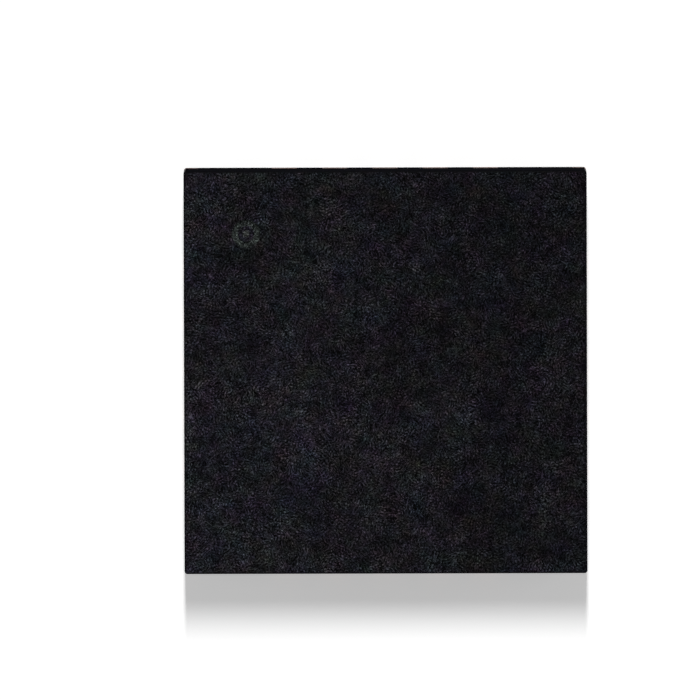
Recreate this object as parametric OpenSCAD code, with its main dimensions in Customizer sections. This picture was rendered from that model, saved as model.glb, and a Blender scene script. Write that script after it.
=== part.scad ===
// Leadless square chip package: a voltage regulator die on an etched copper lead frame,
// wired to its leads and moulded into one flat block.
// The lands face down. Seen from above, lead 1 is next to the ring mark (-X, +Y corner)
// and the leads count anticlockwise.

/* [Moulded body] */
// Side of the square body, from saw cut to saw cut
body_side = 4; // [3.8:0.05:4.6]
// Overall height above the seating plane
body_h = 0.85; // [0.75:0.01:1]
// How far the metal stands proud of the moulding underneath
standoff = 0.02; // [0.01:0.005:0.04]
// Radius of the four upright corners
corner_r = 0.03; // [0.01:0.005:0.06]
// Radius of the rim round the top face
rim_r = 0.015; // [0.005:0.005:0.03]

/* [Ring mark] */
// Outer diameter of the ring beside lead 1
mark_d = 0.28; // [0.2:0.01:0.4]
// Width of the ring's line
mark_line = 0.06; // [0.03:0.01:0.08]
// Diameter of the spot inside the ring
mark_spot_d = 0.06; // [0.04:0.01:0.1]
// Depth of the mark
mark_depth = 0.012; // [0.005:0.001:0.03]
// Mark centre from the side wall with lead 1
mark_from_side = 0.62; // [0.4:0.01:0.9]
// Mark centre from the wall beside it
mark_from_end = 0.62; // [0.4:0.01:0.9]

/* [Leads] */
// Leads along each side
leads_per_side = 5; // [3:1:5]
// Distance from lead to lead
lead_pitch = 0.5; // [0.45:0.01:0.55]
// Thickness of the copper strip
strip_t = 0.203; // [0.16:0.001:0.25]
// Depth etched away from below, where the strip is thinned
etch_depth = 0.1; // [0.08:0.005:0.12]
// Radius that the etch leaves where the thinning starts
etch_r = 0.05; // [0.02:0.01:0.06]
// Width of a land
land_w = 0.25; // [0.2:0.01:0.3]
// Length of a land, in from the side wall
land_len = 0.4; // [0.3:0.01:0.45]
// Radius of the two corners at a land's inner end
land_end_r = 0.09; // [0.03:0.01:0.09]
// How far a lead's thinned tip reaches in past its land
tip_len = 0.08; // [0.06:0.01:0.12]
// Radius of the two corners of that tip
tip_r = 0.05; // [0.02:0.01:0.09]
// Radius that the saw leaves along a land's outer edge
saw_edge_r = 0.015; // [0.005:0.005:0.02]

/* [Die paddle] */
// Gap between a land and the square pad underneath
land_gap = 0.3; // [0.25:0.01:0.4]
// Radius of the pad's corners
pad_r = 0.1; // [0.05:0.01:0.2]
// Chamfer of the pad's corner towards lead 1
pad_chamfer = 0.35; // [0.2:0.05:0.5]
// Width of the thinned ledge round the pad
ledge_w = 0.08; // [0.06:0.01:0.1]
// Width of the four thinned bars that run to the corners
tie_w = 0.2; // [0.15:0.01:0.25]

/* [Die] */
// Length of the die along X
die_x = 1.65; // [1.4:0.05:2]
// Length of the die along Y
die_y = 1.5; // [1.4:0.05:2]
// Thickness of the die
die_t = 0.25; // [0.15:0.01:0.3]
// Side of the square openings over the die's metal pads
opening_side = 0.075; // [0.07:0.001:0.09]
// Depth of those openings
opening_depth = 0.002; // [0.001:0.001:0.004]
// Thickness of the adhesive under the die
attach_t = 0.025; // [0.015:0.005:0.04]
// How far the adhesive spreads past the die
attach_spread = 0.08; // [0.04:0.01:0.12]
// How far the adhesive climbs the die's sides
attach_climb = 0.1; // [0.05:0.01:0.13]
// Thickness of the adhesive where its climb ends
attach_rim = 0.012; // [0.005:0.001:0.02]

/* [Bond wires] */
// Diameter of a wire
wire_d = 0.025; // [0.018:0.001:0.03]
// Diameter of the pressed ball on the die
ball_d = 0.062; // [0.05:0.002:0.068]
// Height of the pressed ball
ball_h = 0.016; // [0.01:0.001:0.022]
// Distance from ball to ball along the die
ball_pitch = 0.26; // [0.2:0.01:0.28]
// Ball centre in from the die's edge
ball_inset = 0.075; // [0.06:0.005:0.12]
// Top of the loop above the die
loop_h = 0.15; // [0.12:0.01:0.18]
// Length of the pressed stitch on the lead
stitch_len = 0.06; // [0.04:0.005:0.07]
// Width of the pressed stitch
stitch_w = 0.046; // [0.036:0.002:0.06]
// Thickness of the stitch at its far end
stitch_t = 0.006; // [0.004:0.001:0.009]
// Middle of the stitch, out from the lead's tip
stitch_from_tip = 0.11; // [0.09:0.01:0.16]

/* [Hidden] */
lead_count = 4 * leads_per_side;
lead_len = land_len + tip_len;
pad_side = body_side - 2 * (land_len + land_gap);
die_seat = strip_t + attach_t;
die_top = die_seat + die_t;
ball_seat = die_top - opening_depth;
stitch_at = body_side / 2 - lead_len + stitch_from_tip;
past_wall = 0.1;
round_fn = 48;

// Rings of a wire: sides of each ring, and rings along its rise and its fall
wire_sides = 8;
rise_steps = 4;
fall_steps = 6;
heel_angle = 22;

function two_digits(i) = str(i < 10 ? "0" : "", i);
function lead_name(i) = str("lead_", two_digits(i));
function wire_name(i) = str("bond_wire_", two_digits(i));

// Side of the package that lead i is on, and its place along that side
function side_of(i) = floor((i - 1) / leads_per_side);
function along(i, pitch) = ((leads_per_side - 1) / 2 - (i - 1) % leads_per_side) * pitch;
function turned(p, quarters) = quarters == 0 ? p : turned([-p.y, p.x], quarters - 1);

// Where wire i is bonded, on the die and on its lead
function die_half(i) = (side_of(i) % 2 == 0 ? die_x : die_y) / 2;
function ball_of(i) = turned([ball_inset - die_half(i), along(i, ball_pitch)], side_of(i));
function stitch_of(i) = turned([-stitch_at, along(i, lead_pitch)], side_of(i));

// A corner of an outline, anticlockwise: its centre and radius, and the directions that
// the edges before and after it face
function facing(a) = [cos(a), sin(a)];
function corner(p, r, from, to) =
    [p - r * (facing(from) + facing(to)) / (1 + cos(to - from)), r, from, to];
function arc_start(c) = c[0] + c[1] * facing(c[2]);
function arc_end(c) = c[0] + c[1] * facing(c[3]);

function box_corners(w, h, r) = [
    corner([w, h] / 2, r, 0, 90),
    corner([-w, h] / 2, r, 90, 180),
    corner([-w, -h] / 2, r, 180, 270),
    corner([w, -h] / 2, r, 270, 360)
];

// The pad's outline, with its chamfer towards lead 1
function pad_corners(side, chamfer) = let (half = side / 2) [
    corner([half, half], pad_r, 0, 90),
    corner([chamfer - half, half], 0, 90, 135),
    corner([-half, half - chamfer], 0, 135, 180),
    corner([-half, -half], pad_r, 180, 270),
    corner([half, -half], pad_r, 270, 360)
];

// A strip that runs in along +X from the wall and ends in two round corners
function tongue_corners(len, r, outward) = [
    corner([len, -land_w / 2], r, -90, 0),
    corner([len, land_w / 2], r, 0, 90),
    corner([-outward, land_w / 2], 0, 90, 180),
    corner([-outward, -land_w / 2], 0, 180, 270)
];

module outline(corners) {
    polygon([for (c = corners) each (c[1] > 0 ? [arc_start(c), arc_end(c)] : [c[0]])]);
    for (c = corners) if (c[1] > 0)
        translate(c[0]) circle(c[1], $fn = round_fn);
}

// Section of what the etch takes from below, outwards from the foot that it leaves
module etch_section() {
    translate([0, -past_wall]) square([body_side, past_wall + etch_depth - etch_r]);
    translate([etch_r, -past_wall]) square([body_side, past_wall + etch_depth]);
    translate([etch_r, etch_depth - etch_r]) circle(etch_r, $fn = round_fn);
}

// The etch round one corner of the foot
module etch_round(c) {
    translate([c[0].x, c[0].y, 0]) rotate(c[2])
        rotate_extrude(angle = c[3] - c[2], $fn = round_fn)
            translate([c[1], 0]) etch_section();
}

// The etch along the edge from corner c to corner d, carried past those that are sharp
module etch_edge(c, d) {
    before = c[1] > 0 ? 0 : past_wall;
    after = d[1] > 0 ? 0 : past_wall;
    end = arc_start(d);
    translate([end.x, end.y, 0]) rotate(c[3]) translate([0, after, 0]) rotate([90, 0, 0])
        linear_extrude(before + norm(end - arc_end(c)) + after) etch_section();
}

// A lead with its outer end at the origin, thinned from below past its land
module lead_shape(outward = 0) {
    foot = tongue_corners(land_len, land_end_r, outward);
    difference() {
        linear_extrude(strip_t) outline(tongue_corners(lead_len, tip_r, outward));
        etch_round(foot[0]);
        etch_edge(foot[0], foot[1]);
        etch_round(foot[1]);
    }
}

// What the saw rounds off along the outer edge of a land
module saw_edge() {
    r = min(saw_edge_r, standoff);
    rotate([90, 0, 0]) linear_extrude(2 * land_w, center = true) difference() {
        translate([-r, -r]) square(2 * r);
        translate([r, r]) circle(r, $fn = round_fn);
    }
}

module at_lead(i) {
    rotate(90 * side_of(i)) translate([-body_side / 2, along(i, lead_pitch), 0]) children();
}

// The pad, the ledge round it and tie bars of a given reach, thinned from below past the pad
module paddle_shape(reach) {
    pad = pad_corners(pad_side, pad_chamfer);
    last = len(pad) - 1;
    difference() {
        linear_extrude(strip_t) {
            outline(pad_corners(pad_side + 2 * ledge_w, pad_chamfer + ledge_w * (2 - sqrt(2))));
            for (a = [45:90:315])
                rotate(a) translate([0, -tie_w / 2]) square([reach, tie_w]);
        }
        for (c = pad) if (c[1] > 0)
            etch_round(c);
        for (i = [0:last])
            etch_edge(pad[i], pad[i == last ? 0 : i + 1]);
    }
}

// Adhesive squeezed out round the die and drawn up its sides
module attach_shape() {
    hull() {
        translate([0, 0, strip_t]) linear_extrude(attach_t / 2)
            outline(box_corners(die_x + 2 * attach_spread, die_y + 2 * attach_spread,
                attach_spread));
        translate([0, 0, strip_t]) linear_extrude(attach_t + attach_climb)
            square([die_x + 2 * attach_rim, die_y + 2 * attach_rim], center = true);
    }
}

// The die with its pads laid open under the balls
module die_shape() {
    difference() {
        translate([-die_x / 2, -die_y / 2, die_seat]) cube([die_x, die_y, die_t]);
        for (i = [1:lead_count])
            translate([ball_of(i).x, ball_of(i).y, die_top])
                cube([opening_side, opening_side, 2 * opening_depth], center = true);
    }
}

// Point and direction at t on the curve that leaves p[0] towards p[1] and reaches p[3] from p[2]
function bezier(p, t) = let (u = 1 - t)
    p[0] * pow(u, 3) + 3 * p[1] * t * pow(u, 2) + 3 * p[2] * t * t * u + p[3] * pow(t, 3);
function bezier_way(p, t) = let (u = 1 - t)
    (p[1] - p[0]) * u * u + 2 * (p[2] - p[1]) * t * u + (p[3] - p[2]) * t * t;
function angle_of(v) = atan2(v.y, v.x);

// A ring of a wire: [distance from the ball, height, slope, half width, half thickness]
function round_ring(p, t) = let (at = bezier(p, t))
    [at.x, at.y, angle_of(bezier_way(p, t)), wire_d / 2, wire_d / 2];
function ball_ring(z, d) = [0, z, 90, d / 2, d / 2];
function pressed_ring(run, w, t) =
    [run, strip_t + t / 2, 0, w / 2, t / 2 / cos(180 / wire_sides)];

// All the rings of a wire whose stitch ends at distance run from its ball
function wire_rings(run) =
    let (
        peak = die_top + loop_h - wire_d / 2,
        heel = run - stitch_len,
        start = [0, ball_seat + ball_h + wire_d / 4],
        crest = [run * 0.14, peak],
        end = [heel - wire_d, strip_t + wire_d / 2],
        pull = (end.x - crest.x) * 0.34,
        rise = [start, [0, peak - wire_d / 2], [crest.x * 0.3, peak], crest],
        fall = [crest, crest + [pull, 0], end - pull * [1, -tan(heel_angle)], end]
    )
    concat(
        [
            ball_ring(ball_seat, ball_d * 0.84),
            ball_ring(ball_seat + ball_h / 2, ball_d),
            ball_ring(ball_seat + ball_h, ball_d * 0.72)
        ],
        [for (k = [0:rise_steps - 1]) round_ring(rise, k / rise_steps)],
        [for (k = [0:fall_steps]) round_ring(fall, k / fall_steps)],
        [
            pressed_ring(heel, stitch_w, wire_d * 0.6),
            pressed_ring(run - stitch_len / 3, stitch_w, stitch_t * 1.5),
            pressed_ring(run, stitch_w * 0.8, stitch_t)
        ]
    );

// Corner k of a ring, for a wire that lies in the XZ plane
function ring_corner(ring, k) =
    let (
        a = (k + 0.5) * 360 / wire_sides,
        wide = ring[3] * cos(a),
        thick = ring[4] * sin(a)
    )
    [ring[0] - thick * sin(ring[2]), wide, ring[1] + thick * cos(ring[2])];

// One closed skin through all the rings
module wire_skin(rings) {
    last = len(rings) - 1;
    m = wire_sides;
    polyhedron(
        points = [for (ring = rings, k = [0:m - 1]) ring_corner(ring, k)],
        faces = concat(
            [[for (k = [0:m - 1]) k]],
            [for (j = [0:last - 1], k = [0:m - 1])
                let (a = j * m + k, b = j * m + (k + 1) % m) [a, a + m, b + m]],
            [for (j = [0:last - 1], k = [0:m - 1])
                let (a = j * m + k, b = j * m + (k + 1) % m) [a, b + m, b]],
            [[for (k = [m - 1:-1:0]) last * m + k]]
        )
    );
}

module wire_shape(i) {
    from = ball_of(i);
    run = stitch_of(i) - from;
    translate([from.x, from.y, 0])
        rotate(angle_of(run)) wire_skin(wire_rings(norm(run) + stitch_len / 2));
}

// The block's outline seen from one side, carried past its ends
module rimmed_profile() {
    length = body_side + 2 * past_wall;
    rotate([90, 0, 0]) linear_extrude(length, center = true) {
        translate([-body_side / 2, 0]) square([body_side, body_h - rim_r]);
        translate([rim_r - body_side / 2, 0]) square([body_side - 2 * rim_r, body_h]);
        for (x = [-1, 1])
            translate([x * (body_side / 2 - rim_r), body_h - rim_r])
                circle(rim_r, $fn = round_fn);
    }
}

// Sawn block with round upright corners and a slightly worn top rim
module block() {
    intersection() {
        translate([0, 0, standoff]) linear_extrude(body_h - standoff)
            outline(box_corners(body_side, body_side, corner_r));
        rimmed_profile();
        rotate(90) rimmed_profile();
    }
}

module ring_mark() {
    translate([mark_from_side - body_side / 2, body_side / 2 - mark_from_end, body_h - mark_depth]) {
        difference() {
            cylinder(d = mark_d, h = 2 * mark_depth, $fn = round_fn);
            translate([0, 0, -mark_depth])
                cylinder(d = mark_d - 2 * mark_line, h = 4 * mark_depth, $fn = round_fn);
        }
        cylinder(d = mark_spot_d, h = 2 * mark_depth, $fn = round_fn);
    }
}

// The moulding fills everything between its sawn sides and what it encloses
module mould_body() {
    color("#1a191d") difference() {
        block();
        ring_mark();
        for (i = [1:lead_count])
            at_lead(i) lead_shape(past_wall);
        paddle_shape(body_side);
        die_shape();
        attach_shape();
        for (i = [1:lead_count])
            wire_shape(i);
    }
}

module die_paddle() {
    color("#8e928c") intersection() {
        paddle_shape(body_side);
        linear_extrude(body_h) outline(box_corners(body_side, body_side, corner_r));
    }
}

module lead(i) {
    color("#8e928c") at_lead(i) difference() {
        lead_shape();
        saw_edge();
    }
}

module die_attach() {
    color("#a9a9a4") difference() {
        attach_shape();
        die_shape();
    }
}

module die() {
    color("#4d5563") die_shape();
}

module bond_wire(i) {
    color("#d8a94a") wire_shape(i);
}

mould_body();
die_paddle();
die_attach();
die();
for (i = [1:lead_count]) {
    lead(i);
    bond_wire(i);
}
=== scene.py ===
import math

import bmesh
import bpy
import numpy as np
from mathutils import Matrix, Quaternion, Vector
from mathutils.geometry import delaunay_2d_cdt


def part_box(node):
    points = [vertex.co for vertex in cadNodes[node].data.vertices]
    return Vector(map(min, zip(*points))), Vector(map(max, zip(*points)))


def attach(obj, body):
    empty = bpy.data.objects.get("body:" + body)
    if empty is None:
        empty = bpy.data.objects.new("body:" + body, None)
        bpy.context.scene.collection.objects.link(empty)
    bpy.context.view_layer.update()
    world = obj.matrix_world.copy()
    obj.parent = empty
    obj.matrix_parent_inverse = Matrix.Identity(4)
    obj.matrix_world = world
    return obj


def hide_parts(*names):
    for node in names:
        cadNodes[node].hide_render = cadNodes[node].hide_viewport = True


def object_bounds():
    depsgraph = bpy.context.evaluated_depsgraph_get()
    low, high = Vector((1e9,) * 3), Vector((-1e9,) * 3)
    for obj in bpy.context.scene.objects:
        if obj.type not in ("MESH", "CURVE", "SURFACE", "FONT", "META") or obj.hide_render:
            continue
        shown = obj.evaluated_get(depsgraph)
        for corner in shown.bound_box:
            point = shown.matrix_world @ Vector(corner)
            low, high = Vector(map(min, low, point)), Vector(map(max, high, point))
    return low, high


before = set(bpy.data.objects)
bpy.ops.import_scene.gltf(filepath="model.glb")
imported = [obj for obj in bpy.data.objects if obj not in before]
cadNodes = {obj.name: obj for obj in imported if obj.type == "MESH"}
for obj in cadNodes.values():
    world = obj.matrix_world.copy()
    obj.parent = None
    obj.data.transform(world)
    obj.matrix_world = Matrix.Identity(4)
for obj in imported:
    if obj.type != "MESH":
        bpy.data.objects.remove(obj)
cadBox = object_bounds()
mm = 0.001
halfSide = cadBox[1].x
topHeight = cadBox[1].z
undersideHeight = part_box("mould_body")[0].z
leadNames = sorted(name for name in cadNodes if name.startswith("lead_"))
wireNames = sorted(name for name in cadNodes if name.startswith("bond_wire_"))
perSide = len(leadNames) // 4
print("frame:", len(cadNodes), "nodes,", len(leadNames), "leads")


# small helpers for shader and geometry trees

def addNode(tree, kind, inputs=None, **settings):
    made = tree.nodes.new(kind)
    for name, value in settings.items():
        setattr(made, name, value)
    for key, value in (inputs or {}).items():
        if isinstance(value, bpy.types.NodeSocket):
            tree.links.new(value, made.inputs[key])
        else:
            made.inputs[key].default_value = value
    return made


def calc(tree, operation, a, b=0.0):
    return addNode(tree, "ShaderNodeMath", {0: a, 1: b}, operation=operation).outputs[0]


def times(tree, a, b):
    return calc(tree, "MULTIPLY", a, b)


def plus(tree, a, b):
    return calc(tree, "ADD", a, b)


def minus(tree, a, b):
    return calc(tree, "SUBTRACT", a, b)


def absolute(tree, a):
    return calc(tree, "ABSOLUTE", a)


def remap(tree, value, low, high, toLow=0.0, toHigh=1.0, smooth=True):
    inputs = {"Value": value, "From Min": low, "From Max": high, "To Min": toLow, "To Max": toHigh}
    kind = "SMOOTHSTEP" if smooth else "LINEAR"
    return addNode(tree, "ShaderNodeMapRange", inputs, interpolation_type=kind).outputs[0]


def spread(tree, value, low, high):        # a cloud, which mostly keeps between 0.3 and 0.7, as low to high
    return remap(tree, value, 0.3, 0.7, low, high, smooth=False)


def mixColour(tree, share, a, b, blend="MIX"):
    made = addNode(tree, "ShaderNodeMix", {0: share, 6: a, 7: b}, data_type="RGBA", blend_type=blend)
    return made.outputs[2]


def mixValue(tree, share, a, b):
    return addNode(tree, "ShaderNodeMix", {0: share, 2: a, 3: b}, data_type="FLOAT").outputs[0]


def vector(tree, operation, a, b, c=(0, 0, 0)):
    return addNode(tree, "ShaderNodeVectorMath", {0: a, 1: b, 2: c}, operation=operation).outputs[0]


def scaled(tree, place, scale, shift=(0, 0, 0)):
    return vector(tree, "MULTIPLY_ADD", place, scale, shift)


def shifted(tree, place, shift):
    return scaled(tree, place, (1, 1, 1), shift)


def lengthOf(tree, place):
    return addNode(tree, "ShaderNodeVectorMath", {0: place}, operation="LENGTH").outputs["Value"]


def axisOf(tree, place, axis):
    return addNode(tree, "ShaderNodeSeparateXYZ", {0: place}).outputs[axis]


def farSide(tree, place):        # how far out a point is, towards the nearest wall
    return calc(tree, "MAXIMUM", absolute(tree, axisOf(tree, place, 0)),
                absolute(tree, axisOf(tree, place, 1)))


def offEdge(tree, reach, band, tone=0.0, smooth=True):        # 1 inside, turning to tone near the edge
    start, end = (halfSide / mm - depth for depth in band)
    return remap(tree, reach, start, end, 1, tone, smooth)


def noise(tree, place, scale, detail=2.0, roughness=0.5, distortion=0.0):
    inputs = {"Vector": place, "Scale": scale, "Detail": detail, "Roughness": roughness,
              "Distortion": distortion}
    return addNode(tree, "ShaderNodeTexNoise", inputs).outputs


def cloud(*given):        # soft patches of grey
    return noise(*given)[0]


def hues(*given):        # soft patches of colour
    return noise(*given)[1]


def lit(tree, tint, level):        # a colour made lighter or darker
    return addNode(tree, "ShaderNodeVectorMath", {0: tint, "Scale": level}, operation="SCALE").outputs[0]


def mottled(tree, tint, hue, reach):        # a colour that patches of other colours tinge
    factor = scaled(tree, hue, (2 * reach,) * 3, (1 - reach,) * 3)
    return mixColour(tree, 1.0, tint, factor, "MULTIPLY")


def colour(red, green, blue):        # a colour as a paint program shows it, 0 to 255
    shares = [value / 255 for value in (red, green, blue)]
    return [*(s / 12.92 if s <= 0.04045 else ((s + 0.055) / 1.055) ** 2.4 for s in shares), 1]


def newMaterial(name, metallic=0.0, specular=0.5):
    material = bpy.data.materials.new(name)
    material.use_nodes = True
    tree = material.node_tree
    shader = tree.nodes["Principled BSDF"]
    shader.inputs["Metallic"].default_value = metallic
    shader.inputs["Specular IOR Level"].default_value = specular
    place = addNode(tree, "ShaderNodeTexCoord").outputs["Object"]
    return material, tree, scaled(tree, place, (1 / mm,) * 3)        # patterns are sized in millimetres


def dress(material, tint, roughness, relief, depth):
    tree = material.node_tree
    shader = tree.nodes["Principled BSDF"]
    tree.links.new(tint, shader.inputs["Base Color"])
    tree.links.new(roughness, shader.inputs["Roughness"])
    bump = addNode(tree, "ShaderNodeBump", {"Height": relief, "Distance": depth})
    tree.links.new(bump.outputs[0], shader.inputs["Normal"])
    return material


def newObject(name, data):
    made = bpy.data.objects.new(name, data)
    bpy.context.scene.collection.objects.link(made)
    return made


# moulding compound: its top with the ring mark, its sawn walls and its underside

topLook = {        # sizes in millimetres, scales per millimetre
    "tint": colour(20, 19.5, 23), "specular": 0.012, "roughness": (0.62, 0.5), "depth": 0.0016 * mm,
    "strokeSize": 0.0295, "finer": 0.62, "turns": 4.5, "cell": 0.09, "drawnOut": 2.8,
    "group": 0.1, "ripple": 0.0292, "rippleShare": 1.6, "faint": 0.45,
    "contrast": 1.24, "contrastScale": 2.2, "contrastRange": (0.75, 1.12), "darkest": 0.1, "power": 2.4,
    "patchScale": 1.1, "patchTones": (0.54, 1.46), "clumpScale": 8, "clumpTones": (0.64, 1.36),
    # the first two pairs here paint light falloff on the top: lighter to the left and near side, darker to
    # the right and far side
    "paintedLightAcross": (1.18, 0.74), "paintedLightAlong": (1.07, 0.84), "brightness": 1.08,
    "broadHues": 4, "fineHues": 14, "fineShare": 0.24, "hues": 0.55,
    "rim": (0.024, 0.006), "rimTone": 0.5, "shadedRim": (0.055, 0.005), "shadedTone": 0.42,
}
ringMark = {        # millimetres, but edges as shares of the line or spot
    "fromSide": 0.62, "fromEnd": 0.62, "diameter": 0.28, "line": 0.06, "spot": 0.06,
    "lineEdge": (0.34, 0.6), "spotEdge": (0.32, 0.75), "ragged": 0.024, "raggedScale": 24,
    "tint": colour(50, 55, 53), "spotTint": colour(54, 56, 55), "faintest": 0.4, "faintScale": 13,
    "smoothed": 0.3, "paleWithin": 0.2,
}
wallLook = {        # scales per millimetre, the size of a grain in cells
    "tint": colour(21, 21, 25), "filler": colour(46, 46, 50), "roughness": (0.5, 0.7), "depth": 0.0015 * mm,
    "lines": (0.5, 0.5, 38), "coarseLines": (0.15, 0.15, 9), "lineTones": (0.4, 1.7),
    "grit": 60, "gritTones": (0.7, 1.3), "grains": 26, "grainSize": 0.26, "rareGrains": 0.55,
}
undersideLook = {        # scales per millimetre
    "tint": colour(9.5, 11.5, 15), "roughness": (0.34, 0.46), "depth": 0.0006 * mm,
    "flow": 1.7, "grain": 55, "tones": (0.7, 1.3), "hueScale": 3.4, "hues": 0.35,
}


def strokes(tree, place, size, turns, shift):        # short curled strokes, like contour lines of a cloud
    field = cloud(tree, shifted(tree, place, shift), 1 / size, 0.6, 0.5, 0.5)
    return calc(tree, "SINE", times(tree, field, turns * 2 * math.pi))


def combed(tree, place):        # turns a pattern its own way in each small cell, and draws it out one way
    cells = addNode(tree, "ShaderNodeTexVoronoi", {"Vector": place, "Scale": 1 / topLook["cell"]})
    angle = times(tree, axisOf(tree, cells.outputs["Color"], 0), 2 * math.pi)
    turned = addNode(tree, "ShaderNodeVectorRotate", {"Vector": place, "Angle": angle},
                     rotation_type="Z_AXIS")
    return scaled(tree, turned.outputs[0], (1, 1 / topLook["drawnOut"], 1))


def ripples(tree, place):        # groups of fine parallel lines
    inputs = {"Vector": place, "Scale": 1 / topLook["group"], "Anisotropy": 0.0,
              "Frequency": topLook["group"] / topLook["ripple"]}
    value = addNode(tree, "ShaderNodeTexGabor", inputs).outputs["Value"]
    return times(tree, minus(tree, value, 0.5), topLook["rippleShare"])


def topStrokes(tree, place):        # -1 to 1: mostly plain, with a few pale and dark strokes
    grouped = combed(tree, place)
    first = strokes(tree, grouped, topLook["strokeSize"], topLook["turns"], (0, 0, 0))
    second = strokes(tree, grouped, topLook["strokeSize"] * topLook["finer"], topLook["turns"], (5, 9, 2))
    both = plus(tree, times(tree, plus(tree, first, second), 0.5), ripples(tree, place))
    return times(tree, both, remap(tree, absolute(tree, both), 0, 1, topLook["faint"], 1, smooth=False))


def topTonesAndPaintedLight(tree, place):        # broad patches and small clumps, a little darker to the right and far side
    patches = cloud(tree, shifted(tree, place, (4, 1, 0)), topLook["patchScale"], 6, 0.76)
    clumps = cloud(tree, shifted(tree, place, (6, 2, 5)), topLook["clumpScale"], 1)
    tones = times(tree, spread(tree, patches, *topLook["patchTones"]),
                  spread(tree, clumps, *topLook["clumpTones"]))
    edge = halfSide / mm
    # painted light falloff: the level is raised to the left and near side and lowered as painted shade to the
    # right and far side
    across, along = (remap(tree, axisOf(tree, place, axis), -edge, edge, *topLook[key], smooth=False)
                     for axis, key in ((0, "paintedLightAcross"), (1, "paintedLightAlong")))
    return times(tree, times(tree, tones, times(tree, across, along)), topLook["brightness"])


def burntMark(tree, place):        # 1 on the laser's ring, on its spot and within the ring, with ragged edges
    mark = ringMark
    toCentre = (halfSide / mm - mark["fromSide"], mark["fromEnd"] - halfSide / mm, 0)
    ragged = times(tree, minus(tree, cloud(tree, place, mark["raggedScale"]), 0.5), mark["ragged"])
    away = plus(tree, lengthOf(tree, scaled(tree, place, (1, 1, 0), toCentre)), ragged)
    middle = (mark["diameter"] - mark["line"]) / 2
    offLine = absolute(tree, minus(tree, away, middle))
    line = remap(tree, offLine, *(mark["line"] * share for share in mark["lineEdge"]), 1, 0)
    patchy = cloud(tree, shifted(tree, place, (2, 8, 0)), mark["faintScale"])
    patchy = remap(tree, patchy, 0.32, 0.58, mark["faintest"], 1)
    spot = remap(tree, away, *(mark["spot"] * share for share in mark["spotEdge"]), 1, 0)
    within = remap(tree, away, middle * 0.8, middle, 1, 0)
    return times(tree, line, patchy), spot, within


def mouldedTop():
    material, tree, place = newMaterial("moulded_top", specular=topLook["specular"])
    stroke = topStrokes(tree, place)
    calm = remap(tree, cloud(tree, place, topLook["contrastScale"]), 0.3, 0.7, *topLook["contrastRange"])
    level = plus(tree, 1, times(tree, stroke, times(tree, calm, topLook["contrast"])))
    level = calc(tree, "MAXIMUM", level, topLook["darkest"])
    level = calc(tree, "POWER", level, topLook["power"])        # dark and pale strokes weigh alike
    line, spot, within = burntMark(tree, place)
    smoothed = times(tree, calc(tree, "MAXIMUM", line, spot), ringMark["smoothed"])
    level = mixValue(tree, smoothed, level, 1 / topLook["brightness"])        # the laser smooths the strokes
    level = times(tree, level, plus(tree, 1, times(tree, within, ringMark["paleWithin"])))
    level = times(tree, level, topTonesAndPaintedLight(tree, place))

    # faint hues drift over the surface
    broad = hues(tree, place, topLook["broadHues"], 2, 0.6)
    fine = hues(tree, shifted(tree, place, (7, 3, 0)), topLook["fineHues"], 1)
    tint = mottled(tree, topLook["tint"], mixColour(tree, topLook["fineShare"], broad, fine), topLook["hues"])
    tint = mixColour(tree, line, tint, ringMark["tint"])
    tint = mixColour(tree, spot, tint, ringMark["spotTint"])

    # the strokes fade out on the rim, where the level is drawn down to rimTone, and the rim on the right is
    # darkened with painted shade
    shaded = offEdge(tree, axisOf(tree, place, 0), topLook["shadedRim"], topLook["shadedTone"], smooth=False)
    rim = offEdge(tree, farSide(tree, place), topLook["rim"])
    level = minus(tree, times(tree, level, shaded), topLook["rimTone"])
    level = plus(tree, times(tree, level, rim), topLook["rimTone"])
    rough = remap(tree, stroke, -1, 1, *topLook["roughness"], smooth=False)
    return dress(material, lit(tree, tint, level), rough, times(tree, stroke, rim), topLook["depth"])


def sawnWall():        # fine level lines from the saw, with cut grains of filler
    material, tree, place = newMaterial("sawn_wall", specular=0.0)
    lines = cloud(tree, scaled(tree, place, wallLook["lines"]), 1.6, 4, 0.62, 0.15)
    coarse = cloud(tree, scaled(tree, place, wallLook["coarseLines"], (3, 1, 0)), 1.0)
    level = remap(tree, plus(tree, lines, coarse), 0.78, 1.22, *wallLook["lineTones"], smooth=False)
    grit = spread(tree, cloud(tree, place, wallLook["grit"], 3, 0.7), *wallLook["gritTones"])
    tint = lit(tree, wallLook["tint"][:3], times(tree, level, grit))
    grains = addNode(tree, "ShaderNodeTexVoronoi", {"Vector": place, "Scale": wallLook["grains"]}).outputs
    size = times(tree, axisOf(tree, grains["Color"], 0), wallLook["grainSize"])
    cut = remap(tree, minus(tree, size, grains["Distance"]), 0.0, 0.08)
    cut = times(tree, cut, remap(tree, axisOf(tree, grains["Color"], 1), wallLook["rareGrains"], 1.0))
    tint = mixColour(tree, cut, tint, wallLook["filler"])
    return dress(material, tint, spread(tree, lines, *wallLook["roughness"]), lines, wallLook["depth"])


def mouldedUnderside():
    look = undersideLook
    material, tree, place = newMaterial("moulded_underside", specular=topLook["specular"])
    flow = cloud(tree, place, look["flow"], 3, 0.55, 0.8)
    grain = cloud(tree, place, look["grain"], 2, 0.6)
    level = times(tree, remap(tree, flow, 0.25, 0.75, *look["tones"], smooth=False),
                  spread(tree, grain, *look["tones"]))
    hue = hues(tree, shifted(tree, place, (1, 6, 0)), look["hueScale"])
    tint = lit(tree, mottled(tree, look["tint"], hue, look["hues"]), level)
    return dress(material, tint, spread(tree, grain, *look["roughness"]), grain, look["depth"])


mouldMaterials = {"top": mouldedTop(), "wall": sawnWall(), "underside": mouldedUnderside()}
print("moulding compound: materials made")


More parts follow.
